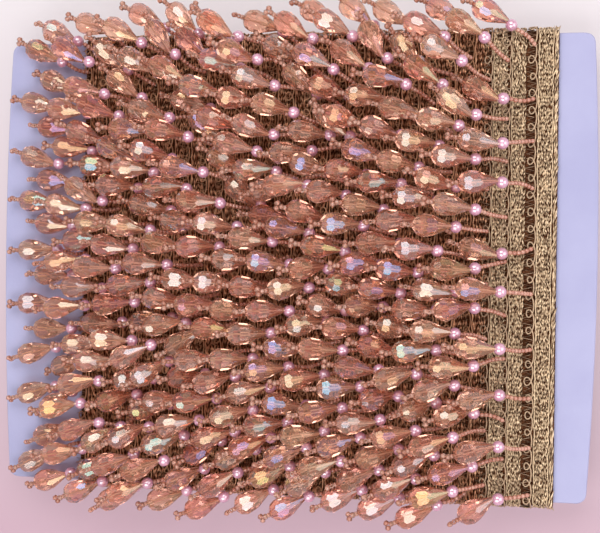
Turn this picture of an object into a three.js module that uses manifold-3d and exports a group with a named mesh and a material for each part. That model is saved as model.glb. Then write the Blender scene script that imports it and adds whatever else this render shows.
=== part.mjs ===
// A roll of beaded fringe trim: metallic gimp braid wound in side-by-side turns round a flat card,
// with a row of beaded strands hanging from the edge of every turn.
// Millimetres, +Z up. The roll lies on its back with the strands pointing to -X, and the trim was
// wound from -X to +X, so each row of strands lies over the rows wound before it.
import * as THREE from "three";
import { mergeVertices } from "three/addons/utils/BufferGeometryUtils.js";
import Module from "manifold-3d";

const wasm = await Module();
wasm.setup();

// Driving dimensions
const GAP = 0.3; // clearance between pieces
const CARD = { height: 152, thickness: 2, corner: 4, topHalf: 100, middleHalf: 101.5, bottomHalf: 99 };
const PRESSED = { depth: 0.2, margin: 1 }; // the tight winding's dent in each face of the card
const SEED = 1.5; // diameter of a seed bead
const PEARL = 4; // diameter of a pearl
const DROP = { width: 8, length: 12, belly: 0.64 }; // faceted teardrop, widest at this share of its length
const SEEDS_ABOVE = 5.5; // seed beads between the braid and the pearl
const TIP_SEEDS = 3; // seed beads below the teardrop
const TURNS = 26;
const ROOTS = { first: -69.5, last: 82 }; // where the first and last turns' strands leave the braid
const LAST_PITCH = 8.4; // the last turn shows its whole width, the others overlap a little
const BRAID = { wall: 1.6, ridge: 0.5, flank: 0.4, dense: 3.1, before: 2.5, after: 6.5 };
const STRIP = { width: 1.6, thickness: 0.9, inset: 1.5 }; // the sewn edge that holds a row of strands
const ROOT_LIMIT = 73.5; // roots past this, on the braid's rounded turn, are drawn in to here
const UNDER_BRAID = 2.4; // height of the braid above the teardrops that the roll lies on
const COLOURS = { card: 0xc8c7ed, braid: 0x9c866e, beads: 0xb88470 };

// How each side's strands are set out: how far from the card's middle they still show, the root spacing,
// the first turn's start and each later turn's shift as shares of the spacing, the lean in degrees at the
// card's two long edges, and how uneven they are. At the back only every third turn has strands.
const FRINGES = {
  front: {
    reach: 77.2,
    spacing: 16.1,
    start: 0.19,
    shift: 0.41,
    leanUp: 31,
    leanDown: 26,
    rootUneven: 2.4,
    leanUneven: 10,
  },
  back: {
    reach: 73,
    spacing: 28,
    start: 0.5,
    shift: 1 / 4,
    leanUp: 12,
    leanDown: 12,
    rootUneven: 0.6,
    leanUneven: 1.5,
  },
};
const LEAN_POWER = { first: 1.2, last: 2 }; // in the last rows only the strands at the very edge fan out
const SEED_STRING_LEAN = 0.6; // share of a strand's lean that its seed beads already have
const BACK_EVERY = 3; // turns from one row of back strands to the next
const TRAIT = { root: 1, stringLean: 2, dropLean: 3 }; // what is uneven about a strand

// Heights worked out from the sizes above
const braidBack = DROP.width + UNDER_BRAID;
const cardBack = braidBack + BRAID.wall + GAP - PRESSED.depth;
const cardFront = cardBack + CARD.thickness;
const braidFront = cardFront - PRESSED.depth + GAP + BRAID.wall;
const pitch = (ROOTS.last - LAST_PITCH - ROOTS.first) / (TURNS - 2);
const braidLeft = ROOTS.first - BRAID.before;
const braidRight = ROOTS.last + BRAID.after;

// Where a turn's strands leave the braid.
function turnAt(turn) {
  return turn === TURNS - 1 ? ROOTS.last : ROOTS.first + turn * pitch;
}

// A strand from root to tip: distance along it and radius at each section
const seedString = SEEDS_ABOVE * SEED - GAP;
const throatAt = seedString + PEARL + GAP;
const bellyAt = throatAt + DROP.belly * DROP.length;
const strandLength = throatAt + DROP.length + TIP_SEEDS * SEED;
const ROOT = { along: 0, radius: 0.4 };
const NECK = { along: seedString, radius: SEED / 2 };
const PEARL_MIDDLE = { along: seedString + PEARL / 2, radius: PEARL / 2 };
const THROAT = { along: throatAt, radius: 0.6 * SEED };
const bellyShare = (bellyAt - throatAt) / (strandLength - throatAt);
const BELLY = { along: bellyAt, radius: DROP.width / 2 };
const TIP = { along: strandLength, radius: 0.6 * SEED };
const FLAT_BELLY = 1.25; // half the length that a teardrop on the surface rests on
const SECTIONS = {
  front: [ROOT, NECK, PEARL_MIDDLE, THROAT, BELLY, TIP],
  back: [
    ROOT,
    PEARL_MIDDLE,
    THROAT,
    { along: bellyAt - FLAT_BELLY, radius: BELLY.radius },
    { along: bellyAt + FLAT_BELLY, radius: BELLY.radius },
    TIP,
  ],
};

// Laying the front strands on each other
const SAMPLE_STEP = 1;
const LAY_GAP = 0.6; // between the sampled sections of two strands
const FREE_AFTER = 6; // nearer its root a strand meets nothing but bare braid
const STRING_SWAYS = [0, 5, -5, 10, -10, 15, -15, 20, -20]; // degrees that seed beads swing to lie lower
const DROP_SWAYS = [0, 6, -6, 12, -12, 18, -18, 24, -24, 30, -30, 36, -36]; // and its teardrop
const SWAY_COST = 0.12; // height, per degree of swing, that a strand has to gain
const TILT_COST = 0.15; // height, per millimetre that tip or throat stands above the belly, to gain
const THROAT_STEP = 0.5; // steps in which a throat is raised to let the belly sink
const THROAT_STEPS = 16;
const TIP_REACH = 84; // tips seldom lie further than this from the card's middle
const OVERHANG_COST = 1.5; // height, per millimetre past that reach, that a strand has to gain

// A repeatable uneven value from -1 to 1 for one trait of a strand.
function uneven(row, place, trait) {
  const wave = Math.sin(row * 12.9898 + place * 78.233 + trait * 37.719) * 43758.5453;
  return 2 * (wave - Math.floor(wave)) - 1;
}

// A closed surface through rings of points, each ring convex and of the same count.
function loft(rings) {
  const count = rings[0].length;
  const points = rings.flat();
  const triangles = [];
  for (let ring = 0; ring + 1 < rings.length; ring++) {
    for (let i = 0; i < count; i++) {
      const a = ring * count + i;
      const b = ring * count + ((i + 1) % count);
      triangles.push(a, b, b + count, a, b + count, a + count);
    }
  }
  const last = (rings.length - 1) * count;
  for (let i = 1; i + 1 < count; i++) {
    triangles.push(0, i + 1, i);
    triangles.push(last, last + i, last + i + 1);
  }
  return new THREE.BufferGeometry().setFromPoints(points).setIndex(triangles);
}

// A three.js geometry as a solid that can be joined and cut.
function solid(geometry) {
  const bare = geometry.clone();
  bare.deleteAttribute("normal");
  bare.deleteAttribute("uv");
  const merged = mergeVertices(bare, 1e-4);
  const triVerts = new Uint32Array(merged.index.array);
  const vertProperties = new Float32Array(merged.attributes.position.array);
  return new wasm.Manifold(new wasm.Mesh({ numProp: 3, vertProperties, triVerts }));
}

// A solid as a named mesh.
function mesh(name, shape, material) {
  const made = shape.getMesh();
  const geometry = new THREE.BufferGeometry();
  geometry.setAttribute("position", new THREE.BufferAttribute(made.vertProperties, 3));
  geometry.setIndex(new THREE.BufferAttribute(made.triVerts, 1));
  geometry.computeVertexNormals();
  const piece = new THREE.Mesh(geometry, material);
  piece.name = name;
  return piece;
}

function box(width, height, depth, x, y, z) {
  return new THREE.BoxGeometry(width, height, depth).translate(x, y, z);
}

// The card: round corners, sides bowed out a little, both faces pressed in under the winding.
function cardSolid() {
  const { corner, topHalf, middleHalf, bottomHalf } = CARD;
  const top = CARD.height / 2;
  const side = 2 * middleHalf - (topHalf + bottomHalf) / 2; // control point of the bowed sides
  const outline = new THREE.Shape();
  outline.moveTo(corner - topHalf, top);
  outline.lineTo(topHalf - corner, top);
  outline.quadraticCurveTo(topHalf, top, topHalf, top - corner);
  outline.quadraticCurveTo(side, 0, bottomHalf, corner - top);
  outline.quadraticCurveTo(bottomHalf, -top, bottomHalf - corner, -top);
  outline.lineTo(corner - bottomHalf, -top);
  outline.quadraticCurveTo(-bottomHalf, -top, -bottomHalf, corner - top);
  outline.quadraticCurveTo(-side, 0, -topHalf, top - corner);
  outline.quadraticCurveTo(-topHalf, top, corner - topHalf, top);
  const plate = new THREE.ExtrudeGeometry(outline, {
    depth: CARD.thickness,
    bevelEnabled: false,
    curveSegments: 6,
  });
  const width = braidRight - braidLeft + 2 * PRESSED.margin;
  const middle = (braidLeft + braidRight) / 2;
  const pressed = (z) => solid(box(width, 2 * CARD.height, 2 * PRESSED.depth, middle, 0, z));
  return solid(plate.translate(0, 0, cardBack)).subtract(pressed(cardBack)).subtract(pressed(cardFront));
}

// One ring of the winding at x: a flat loop round the card, raised where the braid is dense.
function windingRing(x, raised) {
  const ARC_STEPS = 3;
  const middle = (braidFront + braidBack) / 2;
  const radius = (braidFront - braidBack) / 2;
  const straight = CARD.height / 2 + GAP + BRAID.wall - radius;
  const ring = [];
  for (const end of [1, -1]) {
    for (let step = 0; step <= ARC_STEPS; step++) {
      const angle = (0.5 - step / ARC_STEPS) * Math.PI;
      const y = end * (straight + (radius + raised) * Math.cos(angle));
      const z = middle + end * (radius + raised) * Math.sin(angle);
      ring.push(new THREE.Vector3(x, y, z));
    }
  }
  return ring.reverse();
}

// The wound braid: one ridge for the dense half of every turn, a valley for its open loops.
function braidSolid() {
  const rings = [windingRing(braidLeft, 0)];
  for (let turn = 0; turn < TURNS; turn++) {
    const x = turnAt(turn);
    rings.push(windingRing(x, 0), windingRing(x + BRAID.flank, BRAID.ridge));
    if (turn === TURNS - 1) break;
    const end = x + BRAID.dense;
    rings.push(windingRing(end, BRAID.ridge), windingRing(end + BRAID.flank, 0));
  }
  rings.push(windingRing(braidRight, BRAID.ridge));
  const slotHeight = CARD.height + 2 * GAP;
  const slotDepth = CARD.thickness - 2 * PRESSED.depth + 2 * GAP;
  const slot = box(3 * CARD.middleHalf, slotHeight, slotDepth, 0, 0, (cardBack + cardFront) / 2);
  return solid(loft(rings)).subtract(solid(slot));
}

// Where along the braid the strands of a row leave it.
function rootPlaces(fringe, row) {
  const MOST_STEPS = 20;
  const phase = fringe.start + row * fringe.shift;
  const places = [];
  for (let step = -MOST_STEPS; step <= MOST_STEPS; step++) {
    const y = (phase - Math.floor(phase) + step) * fringe.spacing;
    if (Math.abs(y) < fringe.reach) places.push(y);
  }
  return places;
}

// The direction in plan of a strand that leans by an angle in degrees from straight across the roll.
function heading(lean) {
  const angle = THREE.MathUtils.degToRad(lean);
  return new THREE.Vector2(-Math.cos(angle), Math.sin(angle));
}

// A strand in plan: its root and the headings of its seed beads and of its teardrop.
function planStrand(fringe, row, index, root, stringSway, dropSway) {
  const share = root.y / (CARD.height / 2);
  const power = THREE.MathUtils.lerp(LEAN_POWER.first, LEAN_POWER.last, row / (TURNS - 1));
  const edgeLean = share > 0 ? fringe.leanUp : -fringe.leanDown;
  const fan = edgeLean * Math.abs(share) ** power;
  const stringUneven = SEED_STRING_LEAN * fringe.leanUneven * uneven(row, index, TRAIT.stringLean);
  const dropUneven = fringe.leanUneven * uneven(row, index, TRAIT.dropLean);
  return {
    root,
    stringHeading: heading(SEED_STRING_LEAN * fan + stringUneven + stringSway),
    dropHeading: heading(fan + dropUneven + dropSway),
    throatZ: root.z,
    tipZ: root.z,
  };
}

// The middle of a strand at a distance along it.
function strandPoint(strand, along) {
  const onString = Math.min(along, throatAt);
  const onDrop = Math.max(along - throatAt, 0);
  const z =
    along < throatAt
      ? THREE.MathUtils.lerp(strand.root.z, strand.throatZ, along / throatAt)
      : THREE.MathUtils.lerp(strand.throatZ, strand.tipZ, onDrop / (strandLength - throatAt));
  return new THREE.Vector3(
    strand.root.x + onString * strand.stringHeading.x + onDrop * strand.dropHeading.x,
    strand.root.y + onString * strand.stringHeading.y + onDrop * strand.dropHeading.y,
    z,
  );
}

function strandRadius(sections, along) {
  const next = Math.max(1, sections.findIndex((section) => section.along >= along));
  const [from, to] = [sections[next - 1], sections[next]];
  return THREE.MathUtils.mapLinear(along, from.along, to.along, from.radius, to.radius);
}

// What a front strand lies on where no other strand is under it: the braid, the bare card beside it,
// and past the card's long edges nothing, so that a strand droops there.
function groundHeight(x, y) {
  const DROOP_SLOPE = 0.5;
  const PAST_EDGE = 3;
  const edge = CARD.height / 2 + BRAID.wall + PAST_EDGE;
  const bare = x < braidLeft - 2 * STRIP.width;
  const level = bare ? cardFront : braidFront + GAP + STRIP.thickness;
  return level - DROOP_SLOPE * Math.max(0, Math.abs(y) - edge);
}

// The sections of a front strand at even steps along it.
function samples(strand, start) {
  const found = [];
  for (let along = start; along <= strandLength; along += SAMPLE_STEP) {
    found.push({ along, radius: strandRadius(SECTIONS.front, along), ...strandPoint(strand, along) });
  }
  return found;
}

// How high the middle of a section lies when it rests on the ground or on a section already laid.
function restHeight({ x, y, radius }, laid) {
  let rest = groundHeight(x, y) + GAP + radius;
  for (const under of laid) {
    const reach = radius + under.radius + LAY_GAP;
    const apart = Math.hypot(x - under.x, y - under.y);
    if (apart < reach) rest = Math.max(rest, under.z + Math.sqrt(reach ** 2 - apart ** 2));
  }
  return rest;
}

// Lays a front strand with its teardrop's belly as low as the ground and the laid strands allow.
// Returns the height that stands for how well it lies.
function layStrand(strand, laid) {
  let lowest = strand.root.z;
  const dropRests = [];
  for (const section of samples(strand, FREE_AFTER)) {
    const rest = restHeight(section, laid);
    if (section.along <= throatAt) {
      lowest = Math.max(lowest, strand.root.z + ((rest - strand.root.z) * throatAt) / section.along);
    } else {
      dropRests.push({ share: (section.along - throatAt) / (strandLength - throatAt), rest });
    }
  }
  let bestHeight = Infinity;
  for (let step = 0; step <= THROAT_STEPS; step++) {
    const throatZ = lowest + step * THROAT_STEP;
    const tipZ = Math.max(...dropRests.map(({ share, rest }) => (rest - (1 - share) * throatZ) / share));
    const bellyZ = THREE.MathUtils.lerp(throatZ, tipZ, bellyShare);
    const height = bellyZ + TILT_COST * (Math.max(throatZ - bellyZ, 0) + Math.max(tipZ - bellyZ, 0));
    if (height < bestHeight) {
      bestHeight = height;
      strand.throatZ = throatZ;
      strand.tipZ = tipZ;
    }
  }
  return bestHeight;
}

// Lets a front strand swing sideways to where it lies lowest.
function settledStrand(fringe, row, index, root, laid) {
  const near = laid.filter(({ x, y }) => Math.hypot(x - root.x, y - root.y) < strandLength + DROP.width);
  let best = null;
  let bestCost = Infinity;
  for (const stringSway of STRING_SWAYS) {
    for (const dropSway of DROP_SWAYS) {
      const strand = planStrand(fringe, row, index, root, stringSway, dropSway);
      const height = layStrand(strand, near);
      const overhang = Math.max(0, Math.abs(strandPoint(strand, strandLength).y) - TIP_REACH);
      const swayed = Math.abs(stringSway) + Math.abs(dropSway);
      const cost = height + SWAY_COST * swayed + OVERHANG_COST * overhang;
      if (cost < bestCost) {
        best = strand;
        bestCost = cost;
      }
    }
  }
  laid.push(...samples(best, SAMPLE_STEP));
  return best;
}

// A strand's solid, as wide and as high as its beads: four-sided sections at the front, and at the back
// three-sided ones with a flat underside.
function strandSolid(strand, sections) {
  const rings = sections.map(({ along, radius }) => {
    const middle = strandPoint(strand, along);
    const heading = along < throatAt ? strand.stringHeading : strand.dropHeading;
    const across = new THREE.Vector3(-heading.y, heading.x, 0).multiplyScalar(radius);
    const up = new THREE.Vector3(0, 0, radius);
    const top = middle.clone().add(up);
    const bottom = middle.clone().sub(up);
    return sections === SECTIONS.front
      ? [bottom, middle.clone().add(across), top, middle.clone().sub(across)]
      : [bottom.clone().sub(across), bottom.clone().add(across), top];
  });
  return solid(loft(rings));
}

// A back strand, level on the surface from its throat to its tip.
function restingStrand(fringe, row, index, root) {
  const strand = planStrand(fringe, row, index, root, 0, 0);
  strand.throatZ = BELLY.radius;
  strand.tipZ = BELLY.radius;
  return strand;
}

// One row of strands with the sewn strip that holds their roots.
function fringeRow(side, row, laid) {
  const fringe = FRINGES[side];
  const sections = SECTIONS[side];
  const front = side === "front";
  const away = GAP + STRIP.thickness / 2;
  const stripZ = front ? braidFront + away : braidBack - away;
  const stripX = turnAt(row) - GAP - STRIP.width / 2;
  const stripHeight = CARD.height - 2 * STRIP.inset;
  let joined = solid(box(STRIP.width, stripHeight, STRIP.thickness, stripX, 0, stripZ));
  rootPlaces(fringe, row).forEach((place, index) => {
    const y = place + fringe.rootUneven * uneven(row, index, TRAIT.root);
    const root = new THREE.Vector3(stripX, THREE.MathUtils.clamp(y, -ROOT_LIMIT, ROOT_LIMIT), stripZ);
    const strand = front
      ? settledStrand(fringe, row, index, root, laid)
      : restingStrand(fringe, row, index, root);
    joined = joined.add(strandSolid(strand, sections));
  });
  return joined;
}

const cardMaterial = new THREE.MeshStandardMaterial({ color: COLOURS.card, roughness: 0.8 });
const braidMaterial = new THREE.MeshStandardMaterial({
  color: COLOURS.braid,
  roughness: 0.45,
  metalness: 0.6,
});
const beadMaterial = new THREE.MeshStandardMaterial({ color: COLOURS.beads, roughness: 0.15 });

const roll = new THREE.Group();
roll.add(mesh("card", cardSolid(), cardMaterial));
roll.add(mesh("wound_braid", braidSolid(), braidMaterial));
const laid = [];
for (let row = 0; row < TURNS; row++) {
  const number = String(row + 1).padStart(2, "0");
  roll.add(mesh(`fringe_front_${number}`, fringeRow("front", row, laid), beadMaterial));
  if (row % BACK_EVERY === 0) {
    roll.add(mesh(`fringe_back_${number}`, fringeRow("back", row), beadMaterial));
  }
}

// The origin is at the middle of the roll's underside.
const bounds = new THREE.Box3().setFromObject(roll);
const middle = bounds.getCenter(new THREE.Vector3());
roll.position.set(-middle.x, -middle.y, -bounds.min.z);

const part = new THREE.Group();
part.add(roll);
export default part;
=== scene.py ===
# Looks of a roll of beaded fringe trim: gimp braid wound round a card, and the beads of its strands.
# Lengths are in millimetres until a mesh is made, which turns them into metres in the CAD frame.
import math

import bmesh
import bpy
import numpy as np
from mathutils import Matrix, Vector


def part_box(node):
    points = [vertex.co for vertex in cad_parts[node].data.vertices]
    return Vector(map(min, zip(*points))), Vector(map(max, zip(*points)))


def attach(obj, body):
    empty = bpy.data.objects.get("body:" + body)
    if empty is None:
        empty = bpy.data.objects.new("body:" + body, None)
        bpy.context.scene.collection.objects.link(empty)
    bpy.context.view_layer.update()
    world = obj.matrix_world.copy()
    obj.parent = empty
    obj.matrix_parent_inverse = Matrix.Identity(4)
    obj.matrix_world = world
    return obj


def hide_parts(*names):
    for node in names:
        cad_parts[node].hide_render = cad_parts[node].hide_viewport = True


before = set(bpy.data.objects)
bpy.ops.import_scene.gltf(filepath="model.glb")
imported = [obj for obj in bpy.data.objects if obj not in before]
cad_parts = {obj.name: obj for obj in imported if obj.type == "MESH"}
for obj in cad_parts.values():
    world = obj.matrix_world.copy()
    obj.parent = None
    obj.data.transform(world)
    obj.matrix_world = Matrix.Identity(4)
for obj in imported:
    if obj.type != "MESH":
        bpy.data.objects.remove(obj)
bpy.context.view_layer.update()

MM = 0.001  # metres in a millimetre

# Driving sizes, the same as the solids'
GAP = 0.3  # clearance between pieces
CARD = dict(height=152, thickness=2, corner=4, top_half=100, middle_half=101.5, bottom_half=99)
PRESSED = 0.2  # the tight winding's dent in each face of the card
SEED = 1.5  # diameter of a seed bead
PEARL = 4  # diameter of a pearl
DROP = dict(width=8, length=12, belly=0.64)  # a teardrop's solid, widest at this share of its length
SEEDS_ABOVE = 5.5  # seed beads between the braid and the pearl
TIP_SEEDS = 3  # seed beads below the teardrop in the solids
TURNS = 26
ROOTS = (-69.5, 82)  # where the first and last turns' strands leave the braid
LAST_PITCH = 8.4  # the last turn shows its whole width, the others overlap a little
BACK_EVERY = 3  # turns from one solid row of back strands to the next
BRAID = dict(wall=1.6, before=2.5, after=6.5)  # thickness, and reach past the first and last roots
STRIP = dict(width=1.6, thickness=0.9)  # the sewn edge that holds a row of strands
ROOT_LIMIT = 73.5  # roots past this, on the braid's rounded turn, are drawn in to here
UNDER_BRAID = 2.4  # height of the braid above the teardrops that the roll lies on
ROOT_RADIUS = 0.4  # of a strand's solid at its root
THIN_RADIUS = 0.6 * SEED  # of a strand's solid at the teardrop's throat and at the tip

# How each side's strands are set out: the reach of their roots from the card's middle, the root spacing,
# the first turn's start and each later turn's shift as shares of the spacing, the lean in degrees at
# the card's two long edges, and how uneven they are
FRINGES = {
    "front": dict(
        reach=77.2, spacing=16.1, start=0.19, shift=0.41, up=31, down=26, root_uneven=2.4, lean_uneven=10
    ),
    "back": dict(
        reach=73, spacing=28, start=0.5, shift=1 / 4, up=12, down=12, root_uneven=0.6, lean_uneven=1.5
    ),
}
LEAN_POWER = (1.2, 2)  # in the last rows only the strands at the very edge fan out
SEED_STRING_LEAN = 0.6  # share of a strand's lean that its seed beads already have
TRAIT = dict(root=1, string_lean=2, drop_lean=3, roll=4, bow=5, tip=6)  # what is uneven about a strand

# Laying the front strands on each other
SAMPLE_STEP = 1  # along a strand
LAY_GAP = 0.6  # between the sampled sections of two strands
FREE_AFTER = 6  # nearer its root a strand meets nothing but bare braid
STRING_SWAYS = (0, 5, -5, 10, -10, 15, -15, 20, -20)  # degrees that seed beads swing to lie lower
DROP_SWAYS = (0, 6, -6, 12, -12, 18, -18, 24, -24, 30, -30, 36, -36)  # and a teardrop
SWAY_COST = 0.12  # height, per degree of swing, that a strand has to gain
TILT_COST = 0.15  # height, per millimetre that tip or throat stands above the belly, to gain
THROAT_STEP = 0.5  # steps in which a throat is raised to let the belly sink
THROAT_STEPS = 16
TIP_REACH = 84  # tips seldom lie further than this from the card's middle
OVERHANG_COST = 1.5  # height, per millimetre past that reach, that a strand has to gain
DROOP_SLOPE = 0.5  # of strands that hang over the card's long edges
PAST_EDGE = 3  # how far past the edge they start to droop

# Heights and distances worked out from them
BRAID_BACK = DROP["width"] + UNDER_BRAID
CARD_BACK = BRAID_BACK + BRAID["wall"] + GAP - PRESSED
CARD_FRONT = CARD_BACK + CARD["thickness"]
BRAID_FRONT = CARD_FRONT - PRESSED + GAP + BRAID["wall"]
PITCH = (ROOTS[1] - LAST_PITCH - ROOTS[0]) / (TURNS - 2)
BRAID_LEFT = ROOTS[0] - BRAID["before"]
BRAID_RIGHT = ROOTS[1] + BRAID["after"]
WINDING_RADIUS = (BRAID_FRONT - BRAID_BACK) / 2
WINDING_HALF = CARD["height"] / 2 + GAP + BRAID["wall"]
LOOP_LENGTH = 4 * WINDING_HALF + (2 * math.pi - 4) * WINDING_RADIUS
SEED_STRING = SEEDS_ABOVE * SEED - GAP
PEARL_AT = SEED_STRING + PEARL / 2
THROAT_AT = SEED_STRING + PEARL + GAP
BELLY_AT = THROAT_AT + DROP["belly"] * DROP["length"]
STRAND_LENGTH = THROAT_AT + DROP["length"] + TIP_SEEDS * SEED
BELLY_SHARE = (BELLY_AT - THROAT_AT) / (STRAND_LENGTH - THROAT_AT)
SECTIONS = np.array(
    [
        (0, ROOT_RADIUS),
        (SEED_STRING, SEED / 2),
        (PEARL_AT, PEARL / 2),
        (THROAT_AT, THIN_RADIUS),
        (BELLY_AT, DROP["width"] / 2),
        (STRAND_LENGTH, THIN_RADIUS),
    ]
)

# Sizes of the beads as they look
GLASS = dict(length=12.6, width=7.2)  # a teardrop, slightly longer and slimmer than its solid
STRING_SEED = 1.06 * SEED  # diameter of the seed beads above the pearl, so that neighbours touch
TIP_SEED = 1.8  # diameter of the seed beads below the teardrop

# The braid's turns, counted from 0: few beads cover the bare ones, and the covered ones are two pieces
# The covered turns get darker, redder yarn: painted shade under the beads, reddened as light through the
# glass
BARE_FROM = TURNS - 3
SECOND_PIECE_FROM = 12

# What each facet of the teardrops keeps as an attribute
FILM = "film"
TINT = "tint"

# Darkest and lightest colour of each yarn
YARNS = {
    "gold_yarn": ((0.34, 0.22, 0.13), (0.90, 0.69, 0.46)),
    "tan_yarn": ((0.30, 0.19, 0.12), (0.58, 0.41, 0.27)),
    # The last two are darker, redder copies of the first two, for the covered turns: painted shade
    "painted_shade_gold_yarn": ((0.27, 0.105, 0.05), (0.82, 0.46, 0.27)),
    "painted_shade_tan_yarn": ((0.34, 0.165, 0.085), (0.66, 0.39, 0.23)),
}

# Where the lights stand from the card's middle and their sizes, in metres, and their power in watts
SOFTBOXES = (
    dict(name="softbox_1", away=(-0.05, 0.37, 0.6), size=(0.42, 0.6), energy=3.2),
    dict(name="softbox_2", away=(-0.05, -0.37, 0.6), size=(0.42, 0.6), energy=3.2),
    dict(name="softbox_side", away=(0.5, 0, 0.36), size=(0.5, 0.5), energy=1.6),
)

# Where the roll's own frame, with the card's middle at x = y = 0, lies in the CAD frame
card_low, card_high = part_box("card")
SHIFT = np.array(
    [
        (card_low.x + card_high.x) / 2 / MM,
        (card_low.y + card_high.y) / 2 / MM,
        card_low.z / MM - CARD_BACK,
    ]
)


def uneven(row, place, trait):
    """A repeatable uneven value from -1 to 1 for one trait of a strand."""
    ROW_STEP = 12.9898  # odd steps along a wave, so that neighbours get unlike values
    PLACE_STEP = 78.233
    TRAIT_STEP = 37.719
    SPREAD = 43758.5453
    wave = math.sin(row * ROW_STEP + place * PLACE_STEP + TRAIT[trait] * TRAIT_STEP) * SPREAD
    return 2 * (wave - math.floor(wave)) - 1


def turn_at(turn):
    """Where a turn's strands leave the braid."""
    return ROOTS[1] if turn == TURNS - 1 else ROOTS[0] + turn * PITCH


# The strands, laid as in the solids


def root_places(fringe, row):
    """Where along the braid the strands of a row leave it."""
    MOST_STEPS = 20  # to either side, more than the reach needs
    phase = fringe["start"] + row * fringe["shift"]
    steps = np.arange(-MOST_STEPS, MOST_STEPS + 1)
    places = (phase - math.floor(phase) + steps) * fringe["spacing"]
    return places[np.abs(places) < fringe["reach"]]


def heading(lean):
    """Direction in plan of a strand that leans by an angle in degrees from straight across the roll."""
    angle = math.radians(lean)
    return np.array([-math.cos(angle), math.sin(angle)])


class Strand:
    """One strand: its root, the headings of its seed beads and teardrop, and two heights."""

    def __init__(self, side, row, index, root, string_sway=0, drop_sway=0):
        fringe = FRINGES[side]
        share = root[1] / (CARD["height"] / 2)
        power = np.interp(row, (0, TURNS - 1), LEAN_POWER)
        edge_lean = fringe["up"] if share > 0 else -fringe["down"]
        fan = edge_lean * abs(share) ** power
        string_uneven = SEED_STRING_LEAN * fringe["lean_uneven"] * uneven(row, index, "string_lean")
        drop_uneven = fringe["lean_uneven"] * uneven(row, index, "drop_lean")
        self.row = row
        self.index = index
        self.root = root
        self.string_heading = heading(SEED_STRING_LEAN * fan + string_uneven + string_sway)
        self.drop_heading = heading(fan + drop_uneven + drop_sway)
        self.throat_z = root[2]
        self.tip_z = root[2]

    def uneven(self, trait):
        """This strand's uneven value for a trait."""
        return uneven(self.row, self.index, trait)

    def direction(self, start, end):
        """The unit direction in space between two distances along the strand."""
        first, last = self.points([start, end])
        return (last - first) / np.linalg.norm(last - first)

    def points(self, along):
        """The middle of the strand at distances along it."""
        along = np.atleast_1d(np.asarray(along, float))
        on_string = np.minimum(along, THROAT_AT)
        on_drop = np.maximum(along - THROAT_AT, 0)
        string = np.outer(on_string, self.string_heading)
        drop = np.outer(on_drop, self.drop_heading)
        heights = (self.root[2], self.throat_z, self.tip_z)
        z = np.interp(along, (0, THROAT_AT, STRAND_LENGTH), heights)
        return np.column_stack([self.root[:2] + string + drop, z])


def radii(along):
    """The radius of a strand's solid at distances along it."""
    return np.interp(along, SECTIONS[:, 0], SECTIONS[:, 1])


def ground_heights(x, y):
    """What a front strand lies on where no other strand is under it."""
    edge = CARD["height"] / 2 + BRAID["wall"] + PAST_EDGE
    bare = x < BRAID_LEFT - 2 * STRIP["width"]
    level = np.where(bare, CARD_FRONT, BRAID_FRONT + GAP + STRIP["thickness"])
    return level - DROOP_SLOPE * np.maximum(0, np.abs(y) - edge)


def lay_strand(strand, near):
    """Lays a front strand, its belly as low as the ground and the laid sections (x, y, z, radius) allow.

    Returns the height that stands for how well it lies.
    """
    along = np.arange(FREE_AFTER, STRAND_LENGTH, SAMPLE_STEP)
    points = strand.points(along)
    radius = radii(along)
    rest = ground_heights(points[:, 0], points[:, 1]) + GAP + radius
    if len(near):
        apart = np.hypot(points[:, :1] - near[:, 0], points[:, 1:2] - near[:, 1])
        reach = radius[:, None] + near[:, 3] + LAY_GAP
        rise = np.sqrt(np.maximum(reach**2 - apart**2, 0))
        on_others = np.where(apart < reach, near[:, 2] + rise, -np.inf)
        rest = np.maximum(rest, on_others.max(axis=1))
    on_string = along <= THROAT_AT
    root_z = strand.root[2]
    lowest = max(root_z, (root_z + (rest - root_z) * THROAT_AT / along)[on_string].max())
    share = ((along - THROAT_AT) / (STRAND_LENGTH - THROAT_AT))[~on_string]
    throat_z = lowest + THROAT_STEP * np.arange(THROAT_STEPS + 1)
    tip_z = ((rest[~on_string] - np.outer(throat_z, 1 - share)) / share).max(axis=1)
    belly_z = (1 - BELLY_SHARE) * throat_z + BELLY_SHARE * tip_z
    tilt = np.maximum(throat_z - belly_z, 0) + np.maximum(tip_z - belly_z, 0)
    height = belly_z + TILT_COST * tilt
    best = int(np.argmin(height))
    strand.throat_z = throat_z[best]
    strand.tip_z = tip_z[best]
    return height[best]


def settled_strand(row, index, root, laid):
    """A front strand, its seed beads and teardrop swung sideways to where they lie lowest."""
    near = np.empty((0, 4))
    if laid:
        near = np.vstack(laid)
        distance = np.hypot(near[:, 0] - root[0], near[:, 1] - root[1])
        near = near[distance < STRAND_LENGTH + DROP["width"]]
    best = None
    best_cost = math.inf
    for string_sway in STRING_SWAYS:
        for drop_sway in DROP_SWAYS:
            strand = Strand("front", row, index, root, string_sway, drop_sway)
            height = lay_strand(strand, near)
            overhang = max(0, abs(strand.points(STRAND_LENGTH)[0, 1]) - TIP_REACH)
            swayed = abs(string_sway) + abs(drop_sway)
            cost = height + SWAY_COST * swayed + OVERHANG_COST * overhang
            if cost < best_cost:
                best = strand
                best_cost = cost
    along = np.arange(SAMPLE_STEP, STRAND_LENGTH, SAMPLE_STEP)
    laid.append(np.column_stack([best.points(along), radii(along)]))
    return best


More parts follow.
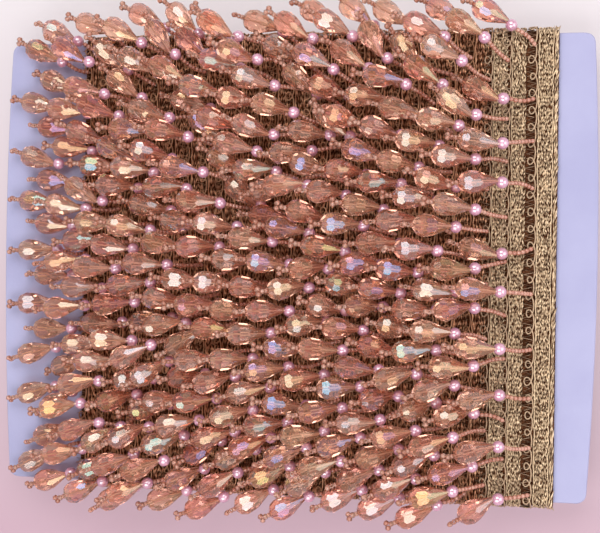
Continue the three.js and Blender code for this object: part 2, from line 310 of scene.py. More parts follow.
def all_strands(side):
    """Every strand of one side, in the order in which the trim was wound."""
    fringe = FRINGES[side]
    away = GAP + STRIP["thickness"] / 2
    z = BRAID_FRONT + away if side == "front" else BRAID_BACK - away
    laid = []
    strands = []
    for row in range(TURNS):
        x = turn_at(row) - GAP - STRIP["width"] / 2
        for index, place in enumerate(root_places(fringe, row)):
            y = place + fringe["root_uneven"] * uneven(row, index, "root")
            root = np.array([x, np.clip(y, -ROOT_LIMIT, ROOT_LIMIT), z])
            if side == "front":
                strand = settled_strand(row, index, root, laid)
            else:
                strand = Strand("back", row, index, root)
                strand.throat_z = DROP["width"] / 2
                strand.tip_z = DROP["width"] / 2
            strands.append(strand)
    return strands


# Shapes as arrays: points, the corners of all faces in one row, and each face's number of corners


def pack_shape(points, faces):
    """A shape from points and lists of corners."""
    corners = np.array([corner for face in faces for corner in face])
    sizes = np.array([len(face) for face in faces])
    return np.asarray(points, float), corners, sizes


def shared_turn(count, start=0.0):
    """Angles that share out a full turn, the first at a share of a step."""
    return (np.arange(count) + start) * 2 * math.pi / count


def lathe(profile, sides, closed=False):
    """A form turned about local Z from (radius, z) pairs: both ends on the axis, or a closed ring."""
    turn = shared_turn(sides)
    circle = np.column_stack([np.cos(turn), np.sin(turn)])
    rings = profile if closed else profile[1:-1]
    points = [np.column_stack([radius * circle, np.full(sides, z)]) for radius, z in rings]
    count = len(rings)
    here = np.arange(sides)
    after = (here + 1) % sides
    faces = []
    for ring in range(count if closed else count - 1):
        low = ring * sides
        high = (ring + 1) % count * sides
        faces += np.column_stack([low + here, low + after, high + after, high + here]).tolist()
    if not closed:
        points += [np.array([[0, 0, profile[0][1]]]), np.array([[0, 0, profile[-1][1]]])]
        first = count * sides
        top = (count - 1) * sides
        faces += np.column_stack([after, here, np.full(sides, first)]).tolist()
        faces += np.column_stack([top + here, top + after, np.full(sides, first + 1)]).tolist()
    return pack_shape(np.vstack(points), faces)


def sleeve_faces(rings, sides):
    """Faces between rings of points, each ring joined to the next."""
    here = np.arange(sides)
    after = (here + 1) % sides
    faces = []
    for ring in range(rings - 1):
        low = ring * sides
        high = low + sides
        faces += np.column_stack([low + after, low + here, high + here, high + after]).tolist()
    return faces


def stamp(shape, origins, axes, scales=None):
    """Copies of a shape, each at an origin, with its local axes as the columns of a 3 by 3 matrix."""
    points, corners, sizes = shape
    copies = len(origins)
    sized = points[None] if scales is None else points[None] * np.asarray(scales)[:, None, None]
    placed = np.einsum("nij,nkj->nki", axes, np.broadcast_to(sized, (copies, *points.shape)))
    placed += np.asarray(origins)[:, None, :]
    offsets = np.arange(copies)[:, None] * len(points)
    return placed.reshape(-1, 3), (corners + offsets).ravel(), np.tile(sizes, copies)


def join(shapes):
    """Several shapes as one."""
    points, corners, sizes = zip(*shapes)
    offsets = np.cumsum([0] + [len(part) for part in points[:-1]])
    shifted = [part + offset for part, offset in zip(corners, offsets)]
    return np.vstack(points), np.concatenate(shifted), np.concatenate(sizes)


def local_axes(directions, rolls):
    """Axes whose local Z runs along each direction, turned about it by each roll in radians."""
    STEEP = 0.95  # a direction that rises more than this is set square to X, not to Z
    z = directions / np.linalg.norm(directions, axis=1, keepdims=True)
    up = np.tile([0.0, 0.0, 1.0], (len(z), 1))
    up[np.abs(z[:, 2]) > STEEP] = [1.0, 0.0, 0.0]
    x = np.cross(up, z)
    x /= np.linalg.norm(x, axis=1, keepdims=True)
    y = np.cross(z, x)
    cos = np.cos(rolls)[:, None]
    sin = np.sin(rolls)[:, None]
    return np.stack([x * cos + y * sin, y * cos - x * sin, z], axis=2)


def tubes(paths, radius, sides):
    """Round tubes along paths, an array of paths by points by xyz."""
    paths = np.asarray(paths, float)
    tangents = np.gradient(paths, axis=1)
    tangents /= np.linalg.norm(tangents, axis=2, keepdims=True)
    flat = tangents.reshape(-1, 3)
    axes = local_axes(flat, np.zeros(len(flat))).reshape(*paths.shape, 3)
    turn = shared_turn(sides)
    across = np.cos(turn)[:, None] * axes[..., None, :, 0]
    upward = np.sin(turn)[:, None] * axes[..., None, :, 1]
    points = paths[:, :, None, :] + radius * (across + upward)
    count, steps = paths.shape[:2]
    here = np.arange(sides)
    after = (here + 1) % sides
    low = np.arange(steps - 1)[:, None] * sides
    high = low + sides
    quads = np.stack([low + here, low + after, high + after, high + here], axis=2).reshape(-1)
    offsets = np.arange(count)[:, None] * steps * sides
    corners = (quads + offsets).ravel()
    return points.reshape(-1, 3), corners, np.full(len(corners) // 4, 4)


def make_piece(name, shape, material, smooth=True, facets=None):
    """A mesh object of a shape in the roll's frame, riding on the part's one body.

    facets holds named rows of numbers, one for each face.
    """
    points, corners, sizes = shape
    mesh = bpy.data.meshes.new(name)
    mesh.vertices.add(len(points))
    mesh.vertices.foreach_set("co", ((points + SHIFT) * MM).ravel())
    mesh.loops.add(len(corners))
    mesh.loops.foreach_set("vertex_index", corners.astype(np.int32))
    mesh.polygons.add(len(sizes))
    starts = np.cumsum(np.concatenate([[0], sizes[:-1]]))
    mesh.polygons.foreach_set("loop_start", starts.astype(np.int32))
    mesh.polygons.foreach_set("use_smooth", np.full(len(sizes), smooth))
    mesh.update(calc_edges=True)
    mesh.validate()
    for key, values in (facets or {}).items():
        mesh.attributes.new(key, "FLOAT", "FACE").data.foreach_set("value", values)
    mesh.materials.append(material)
    piece = bpy.data.objects.new(name, mesh)
    bpy.context.scene.collection.objects.link(piece)
    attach(piece, "root")
    return piece


# Materials


class Nodes:
    """A node material with a Principled shader, and short ways to add nodes and links to it."""

    def __init__(self, name):
        self.material = bpy.data.materials.new(name)
        self.material.use_nodes = True
        self.tree = self.material.node_tree
        self.shader = self.tree.nodes["Principled BSDF"]

    def add(self, kind, **settings):
        """A new node with some of its settings."""
        node = self.tree.nodes.new(kind)
        for key, value in settings.items():
            setattr(node, key, value)
        return node

    def link(self, source, target):
        """A link from an output to an input."""
        self.tree.links.new(source, target)

    def set(self, **values):
        """Constants on the shader's own inputs, their names written with underscores."""
        for key, value in values.items():
            self.shader.inputs[key.replace("_", " ")].default_value = value

    def noise(self, scale, detail):
        """Noise that stays with the object."""
        node = self.add("ShaderNodeTexNoise")
        node.inputs["Scale"].default_value = scale
        node.inputs["Detail"].default_value = detail
        place = self.add("ShaderNodeTexCoord")
        self.link(place.outputs["Object"], node.inputs["Vector"])
        return node.outputs["Fac"]

    def ramp(self, source, stops):
        """A colour ramp of (position, linear colour) stops over a value."""
        node = self.add("ShaderNodeValToRGB")
        elements = node.color_ramp.elements
        while len(elements) < len(stops):
            elements.new(0.5)
        for element, (position, colour) in zip(elements, stops):
            element.position = position
            element.color = (*colour, 1)
        self.link(source, node.inputs["Fac"])
        return node.outputs["Color"]

    def base_colour(self, colour):
        """A colour output as the shader's colour."""
        self.link(colour, self.shader.inputs["Base Color"])

    def single_colours(self, dark, light):
        """A colour between two for each separate bead or stitch of a piece."""
        geometry = self.add("ShaderNodeNewGeometry")
        self.base_colour(self.ramp(geometry.outputs["Random Per Island"], [(0.0, dark), (1.0, light)]))

    def bump(self, source, strength, distance):
        """A height over the whole surface, its distance in metres."""
        node = self.add("ShaderNodeBump")
        node.inputs["Strength"].default_value = strength
        node.inputs["Distance"].default_value = distance
        self.link(source, node.inputs["Height"])
        self.link(node.outputs["Normal"], self.shader.inputs["Normal"])


def card_material():
    """Smooth lavender board with a faint mottle."""
    DARK = (0.335, 0.33, 0.515)
    LIGHT = (0.385, 0.38, 0.565)
    nodes = Nodes("lavender_card")
    nodes.base_colour(nodes.ramp(nodes.noise(scale=45, detail=4), [(0.3, DARK), (0.7, LIGHT)]))
    nodes.set(Roughness=0.55)
    nodes.bump(nodes.noise(scale=900, detail=3), strength=0.15, distance=0.0002)
    return nodes.material


def yarn_material(name):
    """Metallic gimp yarn: each stitch a little lighter or darker, finely wrapped."""
    nodes = Nodes(name)
    nodes.single_colours(*YARNS[name])
    nodes.set(Metallic=0.55, Roughness=0.42)
    nodes.bump(nodes.noise(scale=4500, detail=1), strength=0.5, distance=0.0002)
    return nodes.material


def ground_and_shade_material():
    """A dark sheet under the yarns for the braid's ground; its dark red paints the shade in the gaps."""
    # Dark red painted shade for the gaps between the yarns
    DARK = (0.036, 0.010, 0.003)
    LIGHT = (0.14, 0.052, 0.022)
    nodes = Nodes("braid_ground_and_shade")
    nodes.base_colour(nodes.ramp(nodes.noise(scale=1200, detail=2), [(0.35, DARK), (0.7, LIGHT)]))
    nodes.set(Roughness=0.8, Specular_IOR_Level=0.1)
    nodes.bump(nodes.noise(scale=1800, detail=1), strength=0.8, distance=0.0004)
    return nodes.material


def drop_material():
    """Peach glass under an iridescent film: tint and film thickness differ from facet to facet."""
    ROSE = (0.90, 0.34, 0.24)
    PEACH = (0.99, 0.51, 0.37)
    PALE = (0.98, 0.59, 0.41)
    nodes = Nodes("peach_glass")
    # Each facet's own share of the tint paints light reflected inside the glass; the teardrop's share is
    # its colour
    tint = nodes.add("ShaderNodeAttribute", attribute_name=TINT)
    nodes.base_colour(nodes.ramp(tint.outputs["Fac"], [(0.0, ROSE), (0.5, PEACH), (1.0, PALE)]))
    film = nodes.add("ShaderNodeAttribute", attribute_name=FILM)
    nodes.link(film.outputs["Fac"], nodes.shader.inputs["Thin Film Thickness"])
    nodes.set(Roughness=0.08, IOR=1.6, Thin_Film_IOR=1.9, Transmission_Weight=0.9)
    nodes.set(Sheen_Weight=0.5, Sheen_Roughness=0.2, Sheen_Tint=(1.0, 0.78, 0.66, 1))
    return nodes.material


def pearl_material():
    """Pink-lilac pearl: soft body colour under a clear lustre."""
    nodes = Nodes("pink_pearl")
    nodes.single_colours(dark=(0.55, 0.23, 0.34), light=(0.68, 0.32, 0.46))
    nodes.set(Roughness=0.25, IOR=2.0, Coat_Weight=1.0, Coat_Roughness=0.06, Coat_IOR=2.5)
    nodes.set(Sheen_Weight=0.25, Sheen_Tint=(0.85, 0.75, 1.0, 1))
    return nodes.material


def seed_material(name, dark, light, clear, coat):
    """Seed beads of coloured glass, each a little lighter or darker."""
    nodes = Nodes(name)
    nodes.single_colours(dark, light)
    nodes.set(Roughness=0.1, IOR=1.55, Transmission_Weight=clear, Coat_Weight=coat)
    return nodes.material


def thread_material():
    """Pale stringing thread."""
    DARK = (0.62, 0.40, 0.32)
    LIGHT = (0.80, 0.60, 0.50)
    nodes = Nodes("pale_thread")
    nodes.base_colour(nodes.ramp(nodes.noise(scale=3000, detail=1), [(0.3, DARK), (0.7, LIGHT)]))
    nodes.set(Roughness=0.6)
    return nodes.material


def floor_material():
    """Plain pale pink surface, deeper towards the front, that glows so that shadows stay faint."""
    FRONT_AT = -0.1  # where the change of colour starts and ends along Y, in metres
    BACK_AT = 0.1
    FRONT = (0.30, 0.20, 0.24)
    BACK = (0.41, 0.38, 0.39)
    nodes = Nodes("pale_pink_floor")
    place = nodes.add("ShaderNodeTexCoord")
    split = nodes.add("ShaderNodeSeparateXYZ")
    nodes.link(place.outputs["Object"], split.inputs["Vector"])
    spread = nodes.add("ShaderNodeMapRange")
    spread.inputs["From Min"].default_value = FRONT_AT
    spread.inputs["From Max"].default_value = BACK_AT
    nodes.link(split.outputs["Y"], spread.inputs["Value"])
    colour = nodes.ramp(spread.outputs["Result"], [(0.0, FRONT), (1.0, BACK)])
    nodes.base_colour(colour)
    nodes.link(colour, nodes.shader.inputs["Emission Color"])
    nodes.set(Roughness=0.7, Emission_Strength=0.86)
    return nodes.material


# Beads


def egg_radius(along):
    """Radius of the round form that a teardrop is ground from, by distance from its narrow end."""
    BELLY = 0.7  # the widest place, as a share of the length
    END = 0.26  # radius of both ends, as a share of the widest
    NARROW_POWER = 1.25
    WIDE_POWER = 2.1
    share = np.asarray(along) / GLASS["length"]
    swell = np.sin(np.pi / 2 * np.minimum(share / BELLY, 1)) ** NARROW_POWER
    narrow = END + (1 - END) * swell
    past = np.maximum(share - BELLY, 0) / (1 - BELLY)
    wide = np.sqrt(1 - (1 - END**2) * past**WIDE_POWER)
    return GLASS["width"] / 2 * np.where(share < BELLY, narrow, wide)


def drop_shape():
    """A teardrop ground to flat facets, its narrow end at the origin and its wide end towards +Z."""
    SIDES = 10
    ROWS = (3.6, 7.7, 10.4, 12.0)  # where the rows of facets are ground, from the narrow end
    FLATTEN = 0.975  # how far in, as a share of the round form's radius
    STEP = 0.05  # to either side, for the slope of the round form
    BLANK = 4 * GLASS["length"]  # side of the block that it is ground from
    SAME_POINT = 1e-4  # corners closer than this are one
    mesh = bmesh.new()
    bmesh.ops.create_cube(mesh, size=BLANK)
    planes = [((0, 0, 0), (0, 0, -1)), ((0, 0, GLASS["length"]), (0, 0, 1))]
    for number, along in enumerate(ROWS):
        radius = FLATTEN * egg_radius(along)
        tilt = math.atan((egg_radius(along + STEP) - egg_radius(along - STEP)) / (2 * STEP))
        for side in range(SIDES):
            turn = (side + 0.5 * (number % 2)) * 2 * math.pi / SIDES
            outward = (math.cos(turn), math.sin(turn))
            point = (radius * outward[0], radius * outward[1], along)
            normal = (math.cos(tilt) * outward[0], math.cos(tilt) * outward[1], -math.sin(tilt))
            planes.append((point, normal))
    for point, normal in planes:
        everything = mesh.verts[:] + mesh.edges[:] + mesh.faces[:]
        cut = bmesh.ops.bisect_plane(
            mesh, geom=everything, plane_co=point, plane_no=normal, clear_outer=True
        )
        rim = [item for item in cut["geom_cut"] if isinstance(item, bmesh.types.BMEdge)]
        if rim:
            bmesh.ops.contextual_create(mesh, geom=rim)
    bmesh.ops.remove_doubles(mesh, verts=mesh.verts[:], dist=SAME_POINT)
    bmesh.ops.recalc_face_normals(mesh, faces=mesh.faces[:])
    mesh.verts.index_update()
    points = [vertex.co[:] for vertex in mesh.verts]
    faces = [[vertex.index for vertex in face.verts] for face in mesh.faces]
    mesh.free()
    return pack_shape(points, faces)


def drop_facets(faces, drops):
    """Film thickness in nanometres and tint of each facet, partly its own and partly its teardrop's.

    Just over half of the teardrops shine white to gold, the others pink, violet, blue or green.
    """
    RANDOM_START = 11
    SHARES = (0, 0.56, 0.74, 0.84, 1)
    THICKNESSES = (56, 106, 150, 185, 232)
    FILM_UNEVEN = 24
    # each facet's own share of the tint, lighter or darker at random: painted reflections inside the
    # glass
    TINT_UNEVEN = 0.4
    draw = np.random.default_rng(RANDOM_START)
    bead_film = np.interp(draw.random((drops, 1)), SHARES, THICKNESSES)
    film = bead_film + FILM_UNEVEN * draw.uniform(-1, 1, (drops, faces))
    tint = (1 - TINT_UNEVEN) * draw.random((drops, 1)) + TINT_UNEVEN * draw.random((drops, faces))
    return {FILM: film.ravel(), TINT: tint.ravel()}


def pearl_shape():
    """A round pearl."""
    RINGS = 9
    SIDES = 14
    latitudes = np.linspace(-math.pi / 2, math.pi / 2, RINGS)
    profile = [(PEARL / 2 * math.cos(angle), PEARL / 2 * math.sin(angle)) for angle in latitudes]
    return lathe(profile, SIDES)


def seed_shape(diameter, steps, sides):
    """A small round bead with its hole along local Z."""
    HOLE = 0.22  # as a share of the diameter, as the next is
    HALF_LENGTH = 0.46
    middle = (1 + HOLE) / 4 * diameter
    half = (1 - HOLE) / 4 * diameter
    profile = [
        (middle + half * math.cos(angle), HALF_LENGTH * diameter * math.sin(angle))
        for angle in shared_turn(steps)
    ]
    return lathe(profile, sides, closed=True)


def drop_end(strand):
    """The narrow end of a strand's teardrop, drawn up against the pearl, and the teardrop's axis."""
    DRAWN_UP = 0.75
    axis = strand.direction(THROAT_AT, STRAND_LENGTH)
    return strand.points(THROAT_AT)[0] - DRAWN_UP * axis, axis


def strand_drops(strands):
    """Where the teardrops lie: their narrow ends and axes."""
    origins, directions = zip(*[drop_end(strand) for strand in strands])
    rolls = np.array([math.pi * strand.uneven("roll") for strand in strands])
    return np.array(origins), local_axes(np.array(directions), rolls)


def strand_pearls(strands):
    """Where the pearls lie: their middles and axes."""
    origins = np.vstack([strand.points(PEARL_AT) for strand in strands])
    directions = np.vstack([strand.direction(0, PEARL_AT) for strand in strands])
    return origins, local_axes(directions, np.zeros(len(strands)))


def seed_string_path(strand, shares):
    """Points of the seed string from the braid to the pearl, bowed a little sideways in between."""
    BOW = 0.9
    pearl = strand.points(PEARL_AT)[0] - PEARL / 2 * strand.direction(0, PEARL_AT)
    sideways = np.array([-strand.string_heading[1], strand.string_heading[0], 0])
    bow = BOW * strand.uneven("bow") * np.sin(np.pi * shares)
    return strand.root + np.outer(shares, pearl - strand.root) + np.outer(bow, sideways)


def string_seeds(strand):
    """Seed beads strung close from the braid to the pearl: places and directions."""
    SPACING = 1.34
    ends = seed_string_path(strand, np.array([0.0, 1.0]))
    count = round(np.linalg.norm(ends[1] - ends[0]) / SPACING)
    path = seed_string_path(strand, (np.arange(count) + 0.5) / count)
    return path, np.gradient(path, axis=0)


def tip_seeds(strand):
    """Seed beads below a teardrop, one on its axis and three in a small loop: places and directions."""
    LOOP = 3
    LOOP_RADIUS = 0.55 * TIP_SEED
    BEAD_END = 0.4 * TIP_SEED  # from a bead's middle to where the next thing on the thread starts
    LOOP_DROP = 1.5 * LOOP_RADIUS  # from there to the middle of the loop
    MOST_TILT = math.pi / 2
    end, axis = drop_end(strand)
    first = end + (GLASS["length"] + BEAD_END) * axis
    middle = first + (BEAD_END + LOOP_DROP) * axis
    sideways = np.array([-strand.drop_heading[1], strand.drop_heading[0], 0])
    tilt = MOST_TILT * strand.uneven("tip")
    across = math.cos(tilt) * sideways + math.sin(tilt) * np.cross(axis, sideways)
    turns = shared_turn(LOOP, start=0.5)
    out = np.outer(np.cos(turns), axis) + np.outer(np.sin(turns), across)
    round_loop = np.outer(np.cos(turns), across) - np.outer(np.sin(turns), axis)
    return np.vstack([first, middle + LOOP_RADIUS * out]), np.vstack([axis, round_loop])


def strand_seeds(strands, place):
    """Middles and axes, on all strands, of the seed beads that a function places on one strand."""
    beads = [place(strand) for strand in strands]
    origins = np.vstack([bead[0] for bead in beads])
    directions = np.vstack([bead[1] for bead in beads])
    return origins, local_axes(directions, np.zeros(len(origins)))


def strand_threads(strands):
    """The threads through the beads, from inside the braid to just below the teardrops."""
    RADIUS = 0.3
    SIDES = 5
    STRING_POINTS = 6
    SEWN_IN = np.array([0, 0, -0.6])
    PAST_END = 0.5
    paths = []
    for strand in strands:
        string = seed_string_path(strand, np.linspace(0, 1, STRING_POINTS))
        end, axis = drop_end(strand)
        rest = [end, end + GLASS["length"] / 2 * axis, end + (GLASS["length"] + PAST_END) * axis]
        paths.append(np.vstack([strand.root + SEWN_IN, string, rest]))
    return tubes(paths, RADIUS, SIDES)


# Braid


def loop_points(distance, x, raised):
    """Points and outward normals on the winding's flat loop at distances along it.

    The loop runs up the front, round the top edge, down the back and round the bottom edge.
    """
    middle = (BRAID_FRONT + BRAID_BACK) / 2
    straight = WINDING_HALF - WINDING_RADIUS
    arc = math.pi * WINDING_RADIUS
    run = np.mod(distance, 4 * straight + 2 * arc)
    y = np.zeros_like(run)
    normal_y = np.zeros_like(run)
    normal_z = np.zeros_like(run)
    front = run < 2 * straight
    y[front] = run[front] - straight
    normal_z[front] = 1
    top = (run >= 2 * straight) & (run < 2 * straight + arc)
    angle = (run[top] - 2 * straight) / WINDING_RADIUS
    y[top] = straight
    normal_y[top] = np.sin(angle)
    normal_z[top] = np.cos(angle)
    back = (run >= 2 * straight + arc) & (run < 4 * straight + arc)
    y[back] = 3 * straight + arc - run[back]
    normal_z[back] = -1
    bottom = run >= 4 * straight + arc
    angle = (run[bottom] - 4 * straight - arc) / WINDING_RADIUS
    y[bottom] = -straight
    normal_y[bottom] = -np.sin(angle)
    normal_z[bottom] = -np.cos(angle)
    out = WINDING_RADIUS + raised
    across = np.broadcast_to(x, run.shape)
    points = np.column_stack([across, y + out * normal_y, middle + out * normal_z])
    return points, np.column_stack([np.zeros_like(run), normal_y, normal_z])


def column_draws(x):
    """The random draws of the column at x, the same on every run."""
    STEPS = 10  # a column a tenth of a millimetre further on has other draws
    return np.random.default_rng(round(STEPS * (x - ROOTS[0])))


def stitch_shape(length, width):
    """A slim stitch along local Z with pointed ends."""
    SIDES = 4
    profile = [(0, -length / 2), (width / 2, 0), (0, length / 2)]
    return lathe(profile, SIDES)


def wale(x, columns, spacing, length, width, raised):
    """Stitches round the whole loop, in columns each with an offset and a slant in degrees."""
    UNEVEN = dict(along=0.5, across=0.2, height=0.2, slant=14, size=0.22)
    sideways = np.array([1.0, 0.0, 0.0])
    draw = column_draws(x)
    count = round(LOOP_LENGTH / spacing)
    shape = stitch_shape(length, width)
    shapes = []
    for offset, slant in columns:
        shift, across, height, turn, size = draw.uniform(-1, 1, (len(UNEVEN), count))
        distance = np.arange(count) * LOOP_LENGTH / count + UNEVEN["along"] * shift
        places = x + offset + UNEVEN["across"] * across
        points, normals = loop_points(distance, places, raised + UNEVEN["height"] * height)
        along = np.cross(normals, sideways)
        lean = np.radians(slant + UNEVEN["slant"] * turn)[:, None]
        directions = np.cos(lean) * along + np.sin(lean) * sideways
        axes = local_axes(directions, math.pi * turn)
        shapes.append(stamp(shape, points, axes, 1 + UNEVEN["size"] * size))
    return join(shapes)


def chain_wale(x):
    """A chain of close stitches, the outer ones slanted to a V."""
    COLUMNS = [(-0.75, -12), (0, 3), (0.75, 12)]
    return wale(x, COLUMNS, spacing=2.1, length=2.8, width=0.72, raised=-0.1)


def fine_wale(x):
    """A closer chain of short stitches, for the last turns."""
    COLUMNS = [(-0.95, -16), (-0.55, 10), (-0.18, -8), (0.18, 8), (0.55, -10), (0.95, 16)]
    return wale(x, COLUMNS, spacing=1.3, length=1.9, width=0.58, raised=-0.1)


def cord_wale(x):
    """A loosely twisted cord: long stitches that all lean one way."""
    COLUMNS = [(-0.3, 10), (0.25, 8)]
    return wale(x, COLUMNS, spacing=1.8, length=4.4, width=0.66, raised=0.05)


def edge_yarn(x):
    """A crinkled yarn along the edge of a turn."""
    STEPS = 200
    RADIUS = 0.2
    SIDES = 4
    CRINKLE = 0.2
    draw = column_draws(x)
    distance = np.linspace(0, LOOP_LENGTH, STEPS + 1)
    sideways, height = CRINKLE * draw.uniform(-1, 1, (2, STEPS + 1))
    sideways[-1] = sideways[0]
    height[-1] = height[0]
    points, _ = loop_points(distance, x + sideways, height)
    return tubes(points[None], RADIUS, SIDES)


def dense_columns(turns):
    """The close-worked half of each turn: two chains beside an edge yarn, and a cord after the last."""
    CHAINS = (1.15, 3.3)
    EDGE = 0.1
    LAST_EDGE = 4.65
    LAST_CORD = 5.7
    shapes = []
    for turn in turns:
        x = turn_at(turn)
        chain = chain_wale if turn < BARE_FROM else fine_wale
        shapes += [chain(x + offset) for offset in CHAINS]
        shapes.append(edge_yarn(x + EDGE))
    if turns[-1] == TURNS - 1:
        shapes.append(edge_yarn(ROOTS[1] + LAST_EDGE))
        shapes.append(cord_wale(ROOTS[1] + LAST_CORD))
    return join(shapes)


def open_columns(turns):
    """The open half of each turn: a yarn in a row of small rings, and a zigzag thread between them."""
    RANDOM_START = 7
    PERIOD = 5.5
    MIDDLE = -1.7
    # Points on a ring, how far its yarn turns back and swings aside, the yarn's radius and sides, its
    # lowest height and its rise, and how uneven the rings' sizes and places are
    RING = dict(
        points=12, back=2.7, swing=1.4, yarn=0.25, sides=4, low=0.1, rise=0.35, uneven=0.22, wander=0.3
    )
    # Points beside a ring, the swing, the thread's radius, sides and height, how uneven the swing is,
    # and how far aside the zigzag lies
    ZIGZAG = dict(points=7, swing=2.1, yarn=0.25, sides=3, height=-0.05, uneven=0.6, aside=-0.5)
    count = round(LOOP_LENGTH / PERIOD)
    period = LOOP_LENGTH / count
    ring_phase = np.arange(count * RING["points"] + 1) / RING["points"] * 2 * math.pi
    ring_at = ring_phase / (2 * math.pi)
    ring_numbers = np.arange(count + 1)
    zigzag_step = np.arange(count * ZIGZAG["points"] + 1)
    zigzag_run = zigzag_step * period / ZIGZAG["points"]
    zigzag_height = np.full(len(zigzag_step), ZIGZAG["height"])
    draw = np.random.default_rng(RANDOM_START)
    shapes = []
    for turn in turns:
        x = turn_at(turn) + MIDDLE
        sizes = 1 - RING["uneven"] * draw.random(count + 1)
        size = np.interp(ring_at, ring_numbers, sizes)
        size[-1] = size[0]
        ring_run = ring_at * period - RING["back"] * size * np.sin(ring_phase)
        ring_height = RING["low"] + RING["rise"] * size * np.sin(ring_phase / 2) ** 2
        aside = RING["wander"] * draw.uniform(-1, 1, count + 1)
        aside[-1] = aside[0]
        ring_middle = x + np.interp(ring_at, ring_numbers, aside)
        ring_x = ring_middle - RING["swing"] * size * np.cos(ring_phase)
        rings, _ = loop_points(ring_run, ring_x, ring_height)
        shapes.append(tubes(rings[None], RING["yarn"], RING["sides"]))
        wander = 1 - ZIGZAG["uneven"] * draw.random(len(zigzag_step))
        wander[-1] = wander[0]
        swing = ZIGZAG["aside"] + ZIGZAG["swing"] * wander * (-1.0) ** zigzag_step
        zigzag, _ = loop_points(zigzag_run, x + swing, zigzag_height)
        shapes.append(tubes(zigzag[None], ZIGZAG["yarn"], ZIGZAG["sides"]))
    return join(shapes)


def backing_shape():
    """A thin sleeve round the card under the yarns, for the braid's ground and the painted shade in its
    gaps.
    """
    SUNK = -0.5
    STATIONS = 2 * TURNS + 2
    STEPS = 96
    distance = np.linspace(0, LOOP_LENGTH, STEPS + 1)[:-1]
    stations = np.linspace(BRAID_LEFT, BRAID_RIGHT, STATIONS)
    rings = [loop_points(distance, x, SUNK)[0] for x in stations]
    return pack_shape(np.vstack(rings), sleeve_faces(STATIONS, STEPS))


# Card


def curve_points(start, control, end, steps):
    """Points on a bend from start towards end, the end left out."""
    share = np.arange(steps)[:, None] / steps
    start, control, end = (np.asarray(point, float) for point in (start, control, end))
    return (1 - share) ** 2 * start + 2 * share * (1 - share) * control + share**2 * end


def card_shape():
    """The card with round corners, sides that bow out and softened edges."""
    EDGE = 0.3
    CORNER_STEPS = 8
    SIDE_STEPS = 24
    corner = CARD["corner"]
    top = CARD["height"] / 2
    high = CARD["top_half"]
    low = CARD["bottom_half"]
    side = 2 * CARD["middle_half"] - (high + low) / 2
    outline = np.vstack(
        [
            curve_points((high - corner, top), (high, top), (high, top - corner), CORNER_STEPS),
            curve_points((high, top - corner), (side, 0), (low, corner - top), SIDE_STEPS),
            curve_points((low, corner - top), (low, -top), (low - corner, -top), CORNER_STEPS),
            curve_points((corner - low, -top), (-low, -top), (-low, corner - top), CORNER_STEPS),
            curve_points((-low, corner - top), (-side, 0), (-high, top - corner), SIDE_STEPS),
            curve_points((-high, top - corner), (-high, top), (corner - high, top), CORNER_STEPS),
            [[corner - high, top]],
        ]
    )
    inward = -outline / np.linalg.norm(outline, axis=1, keepdims=True)
    sides = len(outline)
    levels = [(EDGE, 0), (0, EDGE), (0, CARD["thickness"] - EDGE), (EDGE, CARD["thickness"])]
    rings = []
    for inset, z in levels:
        rings.append(np.column_stack([outline + inset * inward, np.full(sides, CARD_BACK + z)]))
    faces = sleeve_faces(len(rings), sides)
    bottom_face = np.arange(sides)
    top_face = (len(rings) - 1) * sides + bottom_face[::-1]
    faces += [bottom_face.tolist(), top_face.tolist()]
    return pack_shape(np.vstack(rings), faces)


# Stage


def make_floor():
    """The surface that the roll lies on."""
    SIZE = 4  # metres
    bpy.ops.mesh.primitive_plane_add(size=SIZE)
    floor = bpy.context.object
    floor.name = "floor"
    floor.data.materials.append(floor_material())


def make_softbox(target, name, away, size, energy):
    """A soft light that points at the target and doesn't show itself."""
    data = bpy.data.lights.new(name, "AREA")
    data.shape = "RECTANGLE"
    data.size, data.size_y = size
    data.energy = energy
    lamp = bpy.data.objects.new(name, data)
    lamp.location = target + Vector(away)
    lamp.rotation_euler = (target - lamp.location).to_track_quat("-Z", "X").to_euler()
    lamp.visible_camera = False
    bpy.context.scene.collection.objects.link(lamp)


def make_world():
    """A studio with bright walls and a darker ceiling."""
    WALLS = (0.62, 0.60, 0.61, 1)
    CEILING = (0.22, 0.21, 0.21, 1)
    WALL_TOP = 0.2
    world = bpy.data.worlds.new("studio")
    world.use_nodes = True
    tree = world.node_tree
    place = tree.nodes.new("ShaderNodeTexCoord")
    split = tree.nodes.new("ShaderNodeSeparateXYZ")
    ramp = tree.nodes.new("ShaderNodeValToRGB")
    low, high = ramp.color_ramp.elements
    low.position = WALL_TOP
    low.color = WALLS
    high.position = 1.0
    high.color = CEILING
    tree.links.new(place.outputs["Generated"], split.inputs["Vector"])
    tree.links.new(split.outputs["Z"], ramp.inputs["Fac"])
    tree.links.new(ramp.outputs["Color"], tree.nodes["Background"].inputs["Color"])
    tree.nodes["Background"].inputs["Strength"].default_value = 1.0
    bpy.context.scene.world = world


def make_camera(target):
    """The photograph's view: above the right half of the card, looking a little to the left."""
    PLACE = Vector((0.0792, -0.0020, 0.3966))  # from the target, in metres
    LOOK = Vector((-0.186, 0.003, -0.983))
    UP = Vector((-0.014, 1.0, 0.006))
    LENS = 72
    SENSOR = 36
    data = bpy.data.cameras.new("camera")
    data.lens = LENS
    data.sensor_width = SENSOR
    data.sensor_fit = "HORIZONTAL"
    camera = bpy.data.objects.new("camera", data)
    back = -LOOK.normalized()
    right = UP.cross(back).normalized()
    up = back.cross(right)
    turn = Matrix((right, up, back)).transposed().to_4x4()
    camera.matrix_world = Matrix.Translation(target + PLACE) @ turn
    bpy.context.scene.collection.objects.link(camera)
    bpy.context.scene.camera = camera


# Pieces


def dress_card():
    """The card."""
    card = make_piece("card_board", card_shape(), card_material(), smooth=False)
    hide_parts("card")


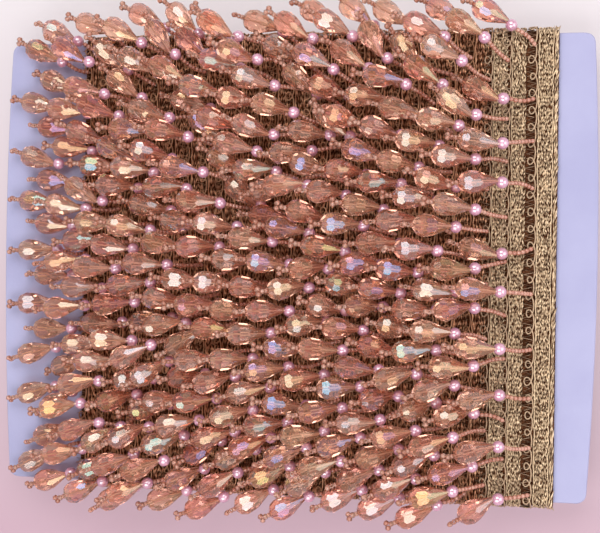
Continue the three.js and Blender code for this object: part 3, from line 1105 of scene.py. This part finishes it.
def dress_braid():
    """The wound braid: a dark sheet that paints shade, and two pieces of yarn for each group of turns.
    """
    ground_and_shade_sheet = make_piece("braid_ground_and_shade", backing_shape(), ground_and_shade_material())
    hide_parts("wound_braid")
    # Under the beads the yarn is darker and redder: painted shade
    covered = (yarn_material("painted_shade_gold_yarn"), yarn_material("painted_shade_tan_yarn"))
    bare = (yarn_material("gold_yarn"), yarn_material("tan_yarn"))
    groups = (
        (range(0, SECOND_PIECE_FROM), covered),
        (range(SECOND_PIECE_FROM, BARE_FROM), covered),
        (range(BARE_FROM, TURNS), bare),
    )
    for number, (turns, (chain_yarn, loop_yarn)) in enumerate(groups, 1):
        make_piece(f"braid_chains_{number}", dense_columns(turns), chain_yarn)
        make_piece(f"braid_loops_{number}", open_columns(turns), loop_yarn)


def bead_finishes():
    """The material of each kind of piece on a strand."""
    return dict(
        drops=drop_material(),
        pearls=pearl_material(),
        seeds=seed_material(
            "copper_rose_seed", dark=(0.50, 0.18, 0.12), light=(0.66, 0.32, 0.23), clear=0.2, coat=1.0
        ),
        tips=seed_material(
            "clear_peach_seed", dark=(0.70, 0.31, 0.21), light=(0.85, 0.50, 0.38), clear=0.6, coat=0.2
        ),
        threads=thread_material(),
    )


def bead_shapes():
    """One bead of each kind."""
    return dict(
        drops=drop_shape(),
        pearls=pearl_shape(),
        seeds=seed_shape(STRING_SEED, steps=5, sides=8),
        tips=seed_shape(TIP_SEED, steps=4, sides=7),
    )


def dress_fringe(side, shapes, finishes):
    """The beads and threads of all strands on one side."""
    strands = all_strands(side)
    every = BACK_EVERY if side == "back" else 1
    rows = [f"fringe_{side}_{row:02d}" for row in range(1, TURNS + 1, every)]
    _, _, face_sizes = shapes["drops"]
    facets = drop_facets(len(face_sizes), len(strands))
    drop_beads = stamp(shapes["drops"], *strand_drops(strands))
    drops = make_piece(f"drops_{side}", drop_beads, finishes["drops"], smooth=False, facets=facets)
    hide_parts(*rows)
    places = dict(
        pearls=strand_pearls(strands),
        seeds=strand_seeds(strands, string_seeds),
        tips=strand_seeds(strands, tip_seeds),
    )
    for kind, (origins, axes) in places.items():
        beads = stamp(shapes[kind], origins, axes)
        make_piece(f"{kind}_{side}", beads, finishes[kind])
    make_piece(f"threads_{side}", strand_threads(strands), finishes["threads"])


card_middle = Vector(((card_low.x + card_high.x) / 2, (card_low.y + card_high.y) / 2, card_high.z))
make_camera(card_middle)
make_world()
for softbox in SOFTBOXES:
    make_softbox(card_middle, **softbox)
make_floor()
bpy.context.scene.view_settings.view_transform = "Standard"

dress_card()
dress_braid()
shapes = bead_shapes()
finishes = bead_finishes()
for side in FRINGES:
    dress_fringe(side, shapes, finishes)
